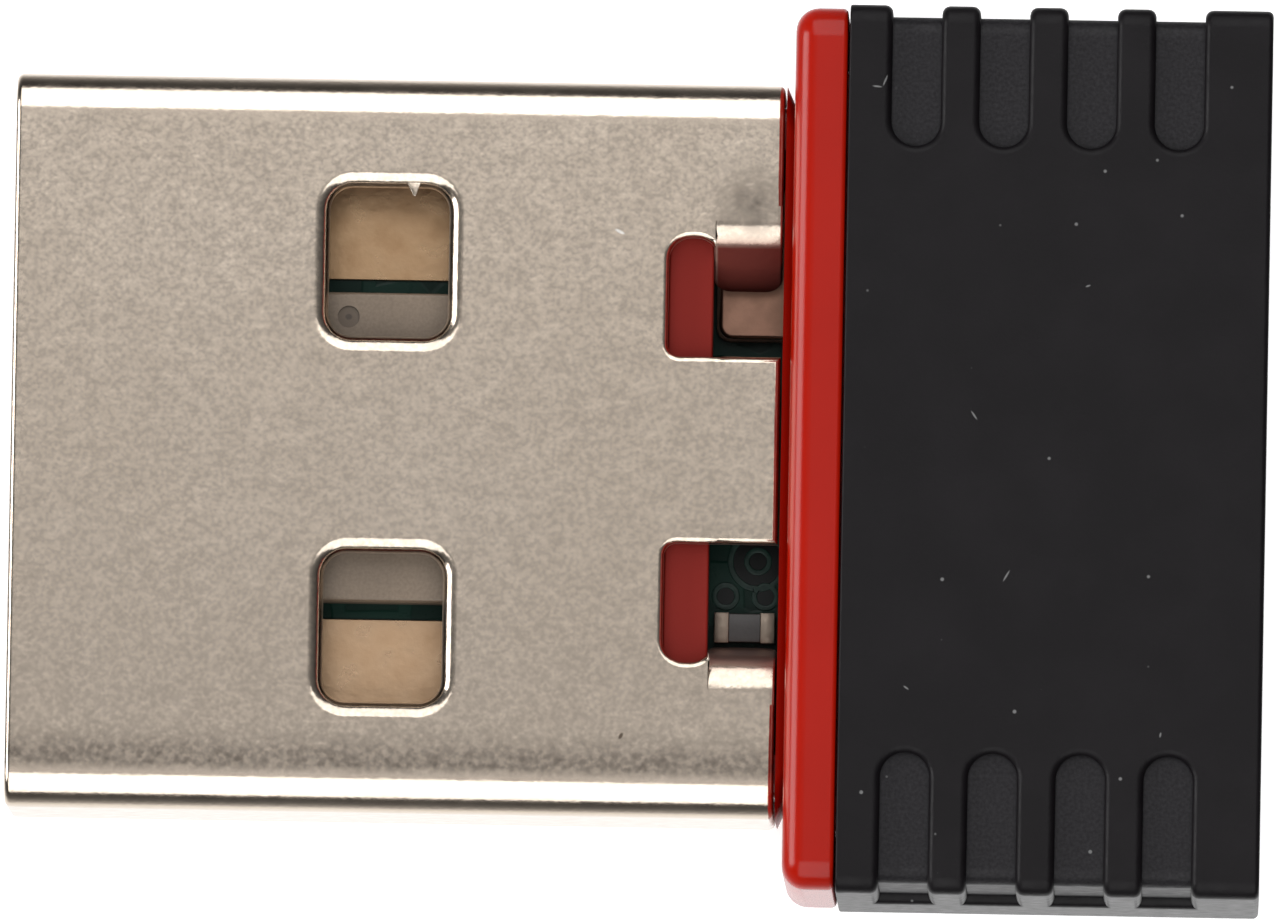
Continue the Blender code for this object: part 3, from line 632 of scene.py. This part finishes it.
# Painted shade: the floor inside each ring is painted near-black in place of the hole's depth.
painted_hole_shade = ramp(ring_green, above_board, board_high.z + 0.008 * mm, board_high.z + 0.012 * mm, 1, 0)
feed(ring_green, "Base Color", mix_colours(ring_green, painted_hole_shade, lacquer, (0.0015, 0.003, 0.0025)))
relief(ring_green, (grain(ring_green, 0.04 * mm), 0.001 * mm))
finish_surface(rings, ring_green)
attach(rings, "root")

# ---------------------------------------------------------------- contacts and ground strips
# Four gold-plated contacts lie on the board's underside, where the socket's springs press, and two
# bare gold-plated ground areas run along its top face. All are etched from the board's copper, so
# they are thin, and their corners and edges are soft.

gold = new_material("gold_plate", (0.38, 0.25, 0.14), 0.30, metallic=1.0)
tarnish = ramp(gold, grain(gold, 0.45 * mm, detail=4), 0.35, 0.7, 0, 1)
# Painted shade: the gold on the +Y side is painted darker than on the -Y side, as lit and shaded copies of
# one plating.
painted_lit_side = mix_colours(gold, tarnish, (0.48, 0.325, 0.205), (0.40, 0.26, 0.155))
painted_shaded_side = mix_colours(gold, tarnish, (0.40, 0.262, 0.152), (0.32, 0.20, 0.11))
left_share = ramp(gold, coordinate(gold, "Y"), -1 * mm, 1 * mm, 0, 1)
feed(gold, "Base Color", mix_colours(gold, left_share, painted_lit_side, painted_shaded_side))
feed(gold, "Roughness", ramp(gold, tarnish, 0, 1, 0.27, 0.42))
relief(gold, (grain(gold, 0.12 * mm, detail=3), 0.003 * mm))
flat_parts = (
    ("contact_power", "gold_contact_power"),
    ("contact_data_minus", "gold_contact_data_minus"),
    ("contact_data_plus", "gold_contact_data_plus"),
    ("contact_ground", "gold_contact_ground"),
    ("ground_strip_left", "ground_area_left"),
    ("ground_strip_right", "ground_area_right"),
)
contact_corner, contact_roll = 0.20 * mm, 0.018 * mm
for node_name, piece_name in flat_parts:
    low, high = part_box(node_name)
    flat = block(piece_name, low, high)
    round_edges(flat, contact_corner, 6, lambda edge: runs_along(edge, 2))
    round_edges(flat, contact_roll, 3, is_sharp)
    finish_surface(flat, gold)
    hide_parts(node_name)
    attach(flat, "root")

# ---------------------------------------------------------------- wifi chip
# The radio chip is a flat square of grey-brown epoxy with a shallow round mould mark that shows
# where its first pin is.

chip_low, chip_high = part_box("wifi_chip")
chip_roll = 0.06 * mm
chip = block("moulded_wifi_chip", chip_low, chip_high)
round_edges(
    chip,
    chip_roll,
    4,
    lambda edge: not runs_along(edge, 2) and edge.verts[0].co.z > chip_high.z - near,
)
bpy.ops.object.select_all(action="DESELECT")
pin_mark_place = (chip_low.x + 0.47 * mm, chip_high.y - 0.40 * mm, chip_high.z)
pin_mark_radius, pin_mark_depth = 0.18 * mm, 0.05 * mm
bpy.ops.mesh.primitive_cylinder_add(
    vertices=32,
    radius=pin_mark_radius,
    depth=2 * pin_mark_depth,
    location=pin_mark_place,
)
carve(chip, bpy.context.object)
epoxy = new_material("chip_epoxy", (0.16, 0.13, 0.105), 0.42, specular=0.4)
filler = grain(epoxy, 0.05 * mm, detail=3)
filler_share = ramp(epoxy, filler, 0.3, 0.7, 0, 1)
mould_skin = mix_colours(epoxy, filler_share, (0.172, 0.130, 0.094), (0.212, 0.162, 0.118))
# Painted shade: the wall of the pin mark's recess is painted darker.
epoxy_z = coordinate(epoxy, "Z")
below_top = ramp(epoxy, epoxy_z, chip_high.z - 0.03 * mm, chip_high.z - 0.04 * mm, 0, 1)
above_side = ramp(epoxy, epoxy_z, chip_high.z - 0.07 * mm, chip_high.z - 0.06 * mm, 0, 1)
in_mark = maths(epoxy, "MULTIPLY", below_top, above_side)
skin_with_mark_shade = mix_colours(epoxy, in_mark, mould_skin, (0.118, 0.087, 0.062))
mark_middle = spot(epoxy, pin_mark_place, 0, (0.07 * mm, 0.06 * mm, 0.2 * mm))
feed(epoxy, "Base Color", mix_colours(epoxy, mark_middle, skin_with_mark_shade, (0.06, 0.044, 0.032)))
feed(epoxy, "Roughness", ramp(epoxy, grain(epoxy, 0.5 * mm), 0.3, 0.7, 0.36, 0.5))
relief(epoxy, (filler, 0.002 * mm))
finish_surface(chip, epoxy)
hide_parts("wifi_chip")
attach(chip, "root")

# ---------------------------------------------------------------- crystal
# The clock crystal is a ceramic tray closed by a thin pressed metal lid with rounded corners. The
# tray is soldered to the board behind the chip, and the lid is welded onto the tray.

crystal_corner, crystal_roll = 0.22 * mm, 0.07 * mm
# The lid's dim brown is partly its own metal and partly painted shade, for the shade it sits in under the
# shell's tab.
for node_name, piece_name, colour, rough, metal, slot in (
    ("crystal_base", "crystal_tray", (0.15, 0.095, 0.068), 0.5, 0.0, "ceramic"),
    ("crystal_lid", "crystal_cover", (0.23, 0.13, 0.092), 0.36, 1.0, "lid_metal"),
):
    low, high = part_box(node_name)
    tray = block(piece_name, low, high)
    round_edges(tray, crystal_corner, 6, lambda edge: runs_along(edge, 2))
    round_edges(
        tray,
        crystal_roll,
        4,
        lambda edge: is_sharp(edge) and all(corner.co.z > high.z - near for corner in edge.verts),
    )
    finish = new_material(piece_name + "_finish", colour, rough, metallic=metal)
    dull = tuple(0.8 * channel for channel in colour)
    blotch = ramp(finish, grain(finish, 0.3 * mm, detail=3), 0.35, 0.65, 0, 1)
    feed(finish, "Base Color", mix_colours(finish, blotch, colour, dull))
    relief(finish, (grain(finish, 0.05 * mm), 0.0015 * mm))
    finish_surface(tray, finish)
    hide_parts(node_name)
    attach(tray, "root")

# ---------------------------------------------------------------- small soldered parts
# Resistors, capacitors and inductors are ceramic blocks with tinned metal caps on both ends, which
# stand a little proud of the body where the solder has drawn up them.

# The tinned caps' dim brown-grey is partly dull tin and partly painted shade, for the shade they sit in under
# the shell.
tin = new_material("tinned_end", (0.22, 0.18, 0.145), 0.45, metallic=1.0)
feed(tin, "Roughness", ramp(tin, grain(tin, 0.12 * mm), 0.3, 0.7, 0.38, 0.55))
relief(tin, (grain(tin, 0.10 * mm), 0.004 * mm))
tan_ceramic = new_material("tan_ceramic", (0.30, 0.21, 0.14), 0.5)
tan_speckle = grain(tan_ceramic, 0.06 * mm)
speckled_tan = mix_colours(tan_ceramic, tan_speckle, (0.26, 0.18, 0.12), (0.34, 0.245, 0.165))
feed(tan_ceramic, "Base Color", speckled_tan)
relief(tan_ceramic, (grain(tan_ceramic, 0.05 * mm), 0.002 * mm))
dark_ceramic = new_material("dark_ceramic", (0.035, 0.032, 0.03), 0.4)
dark_speckle = grain(dark_ceramic, 0.06 * mm)
speckled_dark = mix_colours(dark_ceramic, dark_speckle, (0.03, 0.027, 0.025), (0.045, 0.04, 0.038))
feed(dark_ceramic, "Base Color", speckled_dark)
relief(dark_ceramic, (grain(dark_ceramic, 0.05 * mm), 0.002 * mm))
small_parts = (
    ("bias_resistor", "tinned_bias_resistor", dark_ceramic, "dark_ceramic"),
    ("decoupling_capacitor_left", "tinned_decoupling_capacitor_left", tan_ceramic, "ceramic"),
    ("decoupling_capacitor_right", "tinned_decoupling_capacitor_right", tan_ceramic, "ceramic"),
    ("crystal_capacitor_inner", "tinned_crystal_capacitor_inner", tan_ceramic, "ceramic"),
    ("crystal_capacitor_outer", "tinned_crystal_capacitor_outer", tan_ceramic, "ceramic"),
    ("antenna_capacitor", "tinned_antenna_capacitor", tan_ceramic, "ceramic"),
    ("antenna_inductor", "tinned_antenna_inductor", dark_ceramic, "dark_ceramic"),
    ("input_capacitor", "tinned_input_capacitor", tan_ceramic, "ceramic"),
    ("power_inductor", "tinned_power_inductor", dark_ceramic, "dark_ceramic"),
)
tinned_share = 0.25
proud, tinned_roll = 0.015 * mm, 0.02 * mm
for node_name, piece_name, body_finish, slot in small_parts:
    low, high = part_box(node_name)
    inset = Vector((proud, proud, proud))
    part = block(piece_name, low + inset, high - inset)
    cap_reach = tinned_share * (high.x - low.x)
    bare_low, bare_high = low.x + cap_reach, high.x - cap_reach
    for x in (bare_low, bare_high):
        open_with(part, "FACE", lambda face: True)
        bpy.ops.mesh.bisect(plane_co=(x, 0, 0), plane_no=(1, 0, 0))
        close_edit()
    open_with(
        part,
        "FACE",
        lambda face: not bare_low - near < face.calc_center_median().x < bare_high + near,
    )
    part.data.materials.append(body_finish)
    part.data.materials.append(tin)
    part.active_material_index = 1
    bpy.ops.object.material_slot_assign()
    swelling = {"value": proud, "use_even_offset": True}
    bpy.ops.mesh.extrude_region_shrink_fatten(TRANSFORM_OT_shrink_fatten=swelling)
    close_edit()
    round_edges(part, tinned_roll, 2, lambda edge: is_sharp(edge) and edge.is_convex)
    bpy.ops.object.shade_smooth_by_angle(angle=math.radians(45))
    apply_modifier(part, "WEIGHTED_NORMAL", keep_sharp=True, weight=100)
    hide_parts(node_name)
    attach(part, "root")

# ---------------------------------------------------------------- antenna
# The antenna is a copper line printed on the board and folded back and forth across its rear end.
# The green lacquer covers it, so it looks like a paler, slightly metallic green.

masked_copper = new_material("copper_under_lacquer", (0.05, 0.16, 0.09), 0.35, metallic=0.4)
thin = ramp(masked_copper, grain(masked_copper, 0.3 * mm, detail=3), 0.35, 0.65, 0, 1)
feed(masked_copper, "Base Color", mix_colours(masked_copper, thin, (0.045, 0.15, 0.085), (0.09, 0.19, 0.09)))
relief(masked_copper, (grain(masked_copper, 0.05 * mm), 0.001 * mm))
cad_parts["antenna_trace"].material_slots[0].material = masked_copper

# ---------------------------------------------------------------- black cap
# The cap is one hollow moulding with a dry, finely textured surface. Four finger grooves on each
# side run over the top edge and end at the mould's parting line, and dust sits in them.

cap_low, cap_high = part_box("cap")
cap_corner, cap_rear_roll, cap_front_roll = 0.30 * mm, 0.09 * mm, 0.04 * mm
cap_wall = 1.0 * mm
groove_count, groove_width = 4, 0.80 * mm
groove_first, groove_last = 1.10 * mm, 1.51 * mm
groove_pitch = (cap_high.x - cap_low.x - groove_first - groove_last) / (groove_count - 1)
groove_reach, groove_depth = 2.30 * mm, 0.18 * mm
groove_roll = 0.13 * mm
parting_z = axis_z - 0.30 * mm
cap = bar_with_round_sides("textured_cap", cap_low, cap_high, cap_corner)
round_end(cap, cap_high.x, cap_rear_roll, 5)
round_end(cap, cap_low.x, cap_front_roll, 3)
for side in (1, -1):
    for number in range(groove_count):
        centre_x = cap_low.x + groove_first + number * groove_pitch
        groove_y = sorted((side * (cap_high.y - groove_reach), side * (cap_high.y + 1 * mm)))
        groove = block(
            "groove_cutter",
            (centre_x - groove_width / 2, groove_y[0], parting_z),
            (centre_x + groove_width / 2, groove_y[1], cap_high.z + 1 * mm),
        )
        round_edges(
            groove,
            0.499 * groove_width,
            10,
            lambda edge: runs_along(edge, 2) and abs(edge.verts[0].co.y) < cap_high.y,
        )
        carve(cap, groove)
groove_floor = bar_with_round_sides(
    "groove_floor",
    (cap_low.x + groove_depth, cap_low.y + groove_depth, cap_low.z + groove_depth),
    (cap_high.x - cap_wall / 2, cap_high.y - groove_depth, cap_high.z - groove_depth),
    cap_corner,
)
carve(cap, groove_floor, "UNION")


def is_groove_rim(edge):
    places = [corner.co for corner in edge.verts]
    return edge.calc_face_angle(0) > math.radians(40) and all(
        cap_low.x + 0.3 * mm < place.x < cap_high.x - 0.3 * mm
        and (abs(place.y) > cap_high.y - groove_depth + near or place.z > cap_high.z - groove_depth + near)
        for place in places
    )


round_edges(cap, groove_roll, 4, is_groove_rim)
cavity_low = (cap_low.x - 1 * mm, cap_low.y + cap_wall, cap_low.z + cap_wall)
cavity_high = (cap_high.x - cap_wall, cap_high.y - cap_wall, cap_high.z - cap_wall)
carve(cap, block("cavity_cutter", cavity_low, cavity_high))
pocket_half_width = cap_high.y - cap_wall + snap_depth + fit
pocket_low = (snap_x - slot_fit, -pocket_half_width, axis_z - snap_half_height - slot_fit)
pocket_high = (snap_x + snap_length + slot_fit, pocket_half_width, axis_z + snap_half_height + slot_fit)
carve(cap, block("pocket_cutter", pocket_low, pocket_high))

black = new_material("dry_black_plastic", (0.005, 0.004, 0.005), 0.45, specular=0.15)
near_side = maths(black, "ABSOLUTE", coordinate(black, "Y"), 0.0)
in_groove = ramp(black, coordinate(black, "Z"), cap_high.z - 0.10 * mm, cap_high.z - 0.16 * mm, 0, 1)
for other_limit in (
    ramp(black, near_side, cap_high.y - 0.10 * mm, cap_high.y - 0.16 * mm, 0, 1),
    ramp(black, near_side, cap_high.y - groove_reach - 0.1 * mm, cap_high.y - groove_reach, 0, 1),
    ramp(black, coordinate(black, "Z"), parting_z - near, parting_z + near, 0, 1),
    ramp(black, coordinate(black, "X"), cap_high.x - 1.05 * mm, cap_high.x - 1.0 * mm, 1, 0),
    ramp(black, coordinate(black, "X"), cap_low.x + 0.60 * mm, cap_low.x + 0.65 * mm, 0, 1),
):
    in_groove = maths(black, "MULTIPLY", in_groove, other_limit)
scuff = ramp(black, grain(black, 1.2 * mm, detail=4), 0.4, 0.7, 0, 1)
bare = mix_colours(black, scuff, (0.0038, 0.0030, 0.0038), (0.0056, 0.0046, 0.0056))
dust = ramp(black, grain(black, 0.055 * mm, detail=3), 0.35, 0.70, 0, 1)
powder = mix_colours(black, dust, (0.0085, 0.0078, 0.0092), (0.0175, 0.0165, 0.0185))
dusty = mix_colours(black, in_groove, bare, powder)
specks = add_node(
    black,
    "ShaderNodeTexVoronoi",
    {"Vector": object_place(black), "Scale": 1 / (0.42 * mm), "Randomness": 1.0},
    feature="F1",
)
speck_pick = add_node(black, "ShaderNodeSeparateColor", {"Color": specks.outputs["Color"]}).outputs["Red"]
lone = ramp(black, speck_pick, 0.80, 0.81, 0, 1)
speck = maths(black, "MULTIPLY", ramp(black, specks.outputs["Distance"], 0.05, 0.09, 1, 0), lone)
for place_x, place_y, degrees, half_length in (
    (3.94, 6.00, 68, 0.11),
    (3.81, 5.90, -6, 0.09),
    (5.48, 0.56, -55, 0.10),
    (6.05, -2.05, 60, 0.12),
    (7.30, 2.70, 20, 0.05),
    (4.45, -3.90, -35, 0.06),
    (8.60, -4.60, 80, 0.05),
):
    fibre_place = (place_x * mm, place_y * mm, cap_high.z)
    fibre = spot(black, fibre_place, math.radians(degrees), (half_length * mm, 0.018 * mm, 0.1 * mm))
    speck = maths(black, "MAXIMUM", speck, fibre)
feed(black, "Base Color", mix_colours(black, speck, dusty, (0.13, 0.13, 0.13)))
on_wall = ramp(black, near_side, cap_high.y - 0.12 * mm, cap_high.y - 0.02 * mm, 1, 0.82)
dryness = ramp(black, grain(black, 0.25 * mm, detail=3), 0.3, 0.7, 0.40, 0.52)
feed(black, "Roughness", maths(black, "MULTIPLY", dryness, on_wall))
pits = maths(black, "MULTIPLY", grain(black, 0.07 * mm, detail=2), in_groove)
fine_texture, long_waves = grain(black, 0.06 * mm, detail=3), grain(black, 0.8 * mm)
relief(black, (fine_texture, 0.005 * mm), (long_waves, 0.004 * mm), (pits, 0.006 * mm))
finish_surface(cap, black)
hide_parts("cap")
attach(cap, "root")

# ---------------------------------------------------------------- floor, light and camera
# The adapter lies on a plain white table top between two large soft boxes, one along each long
# side, with a narrow one in front of the plug. The camera looks down from nearly overhead.

bpy.ops.object.select_all(action="DESELECT")
bpy.ops.mesh.primitive_plane_add(size=4, location=(0, 0, -2 * near))
floor = bpy.context.object
floor.name = "table_top"
white_paper = new_material("white_paper", (0.86, 0.86, 0.86), 0.9, specular=0.1)
white_paper.node_tree.nodes["Principled BSDF"].inputs["Emission Color"].default_value = (1, 1, 1, 1)
white_paper.node_tree.nodes["Principled BSDF"].inputs["Emission Strength"].default_value = 0.55
floor.data.materials.append(white_paper)
floor.visible_glossy = False

light_distance = 0.5


def soft_box(name, azimuth, elevation, width, height, brightness):
    """A rectangular lamp facing the adapter. Brightness is its radiance."""
    lamp = bpy.data.lights.new(name, "AREA")
    lamp.shape = "RECTANGLE"
    lamp.size, lamp.size_y = width, height
    lamp.energy = brightness * math.pi * width * height
    stand = bpy.data.objects.new(name, lamp)
    bpy.context.scene.collection.objects.link(stand)
    turn, lift = math.radians(azimuth), math.radians(elevation)
    out = Vector((math.cos(turn) * math.cos(lift), math.sin(turn) * math.cos(lift), math.sin(lift)))
    stand.location = out * light_distance
    stand.rotation_euler = out.to_track_quat("Z", "Y").to_euler()
    stand.visible_camera = False


soft_box("left_soft_box", 90, 48, 0.55, 0.60, 2.2)
soft_box("right_soft_box", -90, 48, 0.55, 0.60, 2.2)
soft_box("front_soft_box", 180, 20, 0.35, 0.27, 6.5)

studio = bpy.data.worlds.new("studio")
bpy.context.scene.world = studio
studio.use_nodes = True
background = studio.node_tree.nodes["Background"]
overhead_lean = math.radians(5)
overhead = (0, math.sin(overhead_lean), math.cos(overhead_lean))
direction = add_node(studio, "ShaderNodeTexCoord").outputs["Generated"]
height = add_node(studio, "ShaderNodeVectorMath", {0: direction, 1: overhead}, operation="DOT_PRODUCT")
room = add_node(studio, "ShaderNodeValToRGB", {"Fac": ramp(studio, height.outputs["Value"], -1, 1, 0, 1)})
# The room's brightness, from straight below the adapter to straight overhead.
stops = (
    (0.0, 1.25),
    (0.13, 1.2),
    (0.22, 0.48),
    (0.33, 0.16),
    (0.46, 0.06),
    (0.60, 0.03),
    (0.93, 0.20),
    (0.985, 0.30),
    (0.993, 0.64),
    (1.0, 0.64),
)
for index, (position, level) in enumerate(stops):
    stop = room.color_ramp.elements[index] if index < 2 else room.color_ramp.elements.new(position)
    stop.position = position
    stop.color = (level, level, level, 1)
shown = add_node(studio, "ShaderNodeLightPath").outputs["Is Camera Ray"]
backdrop = mix_colours(studio, shown, room.outputs["Color"], (0.95, 0.95, 0.95))
studio.node_tree.links.new(backdrop, background.inputs["Color"])
bpy.context.scene.view_settings.view_transform = "Standard"

camera_distance = 0.6
aim = Vector((0.067 * mm, -0.196 * mm, shell_high.z))
turn = Matrix.Identity(3)
# It leans a little towards the cap and the right side, and is rolled a little.
for degrees, axis in ((0.9, "Y"), (3.42, "X"), (1.03, "Z")):
    turn = turn @ Matrix.Rotation(math.radians(degrees), 3, axis)
camera_data = bpy.data.cameras.new("camera")
camera_data.lens = 1031.1
camera = bpy.data.objects.new("camera", camera_data)
bpy.context.scene.collection.objects.link(camera)
camera.location = aim + turn @ Vector((0, 0, camera_distance))
camera.rotation_euler = turn.to_euler()
bpy.context.scene.camera = camera
